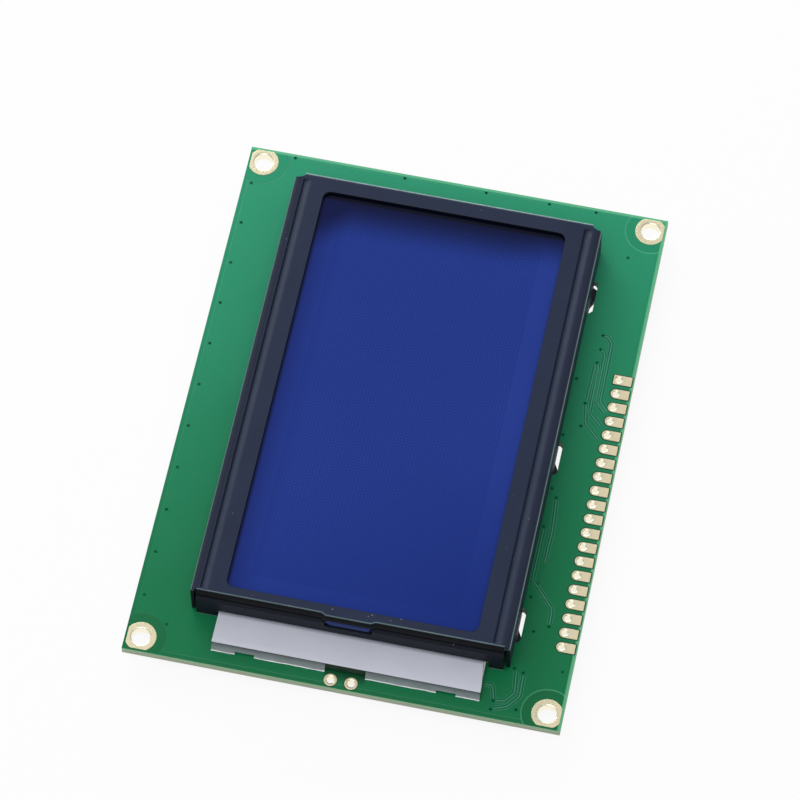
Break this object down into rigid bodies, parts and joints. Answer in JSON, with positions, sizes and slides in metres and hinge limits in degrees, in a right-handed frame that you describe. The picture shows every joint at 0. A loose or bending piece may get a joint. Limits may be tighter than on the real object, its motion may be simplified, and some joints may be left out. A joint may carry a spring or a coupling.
{
  "type": "graphic lcd module",
  "caption": "Flat display module: a blue graphic screen in a black pressed bezel on a green board, with a row of solder pads, a silver lamp end and plated corner holes.",
  "frame": {"origin": "under the middle of the circuit board, level with the tips of the bezel's tabs", "axes": "+X along the board towards the lamp end, +Y across it towards the row of solder pads, +Z out of the display"},
  "size_m": [0.093, 0.07, 0.0106],
  "materials": {
    "board_mask": "glossy green solder mask over a laminate",
    "gold_plating": "thin gold over nickel and copper",
    "black_paint": "semi-gloss black, slightly blue",
    "blue_polarizer": "smooth and dark blue, unlit",
    "rear_polarizer": "satin grey",
    "cell_glass": "clear float glass",
    "gasket_resin": "thin line of resin",
    "plug_resin": "blue hardened resin",
    "contact_rubber": "layered grey rubber",
    "reflector_film": "white film",
    "guide_acrylic": "clear acrylic",
    "diffuser_film": "milky film",
    "frame_plastic": "white moulded plastic",
    "lamp_board": "white mask on a thin laminate",
    "lamp_resin": "white package, pale yellow resin",
    "silver_film": "satin silver film",
    "drop_resin": "black resin, softly glossy",
    "chip_plastic": "black moulded resin",
    "tinned_lead": "tinned metal",
    "resistor_ceramic": "black glaze between tinned ends",
    "capacitor_ceramic": "brown ceramic between tinned ends",
    "tantalum_resin": "ochre moulded resin between tinned ends"
  },
  "bodies": {
    "root": {"pcb": "board_mask", "mounting_rings": "gold_plating", "header_pads": "gold_plating", "backlight_pads": "gold_plating", "bezel": "black_paint", "front_polarizer": "blue_polarizer", "rear_polarizer": "rear_polarizer", "front_glass": "cell_glass", "rear_glass": "cell_glass", "cell_seal": "gasket_resin", "end_seal": "plug_resin", "zebra_strip_pad_side": "contact_rubber", "zebra_strip_far_side": "contact_rubber", "reflector": "reflector_film", "light_guide": "guide_acrylic", "diffuser": "diffuser_film", "backlight_frame": "frame_plastic", "lamp_board": "lamp_board", "lamps": "lamp_resin", "backlight_film": "silver_film", "driver_resin_far": "drop_resin", "controller_resin": "drop_resin", "driver_resin_near": "drop_resin", "charge_pump_chip": "chip_plastic", "charge_pump_leads": "tinned_lead", "chip_resistors": "resistor_ceramic", "chip_capacitors": "capacitor_ceramic", "tantalum_capacitors": "tantalum_resin"}
  },
  "joints": []
}
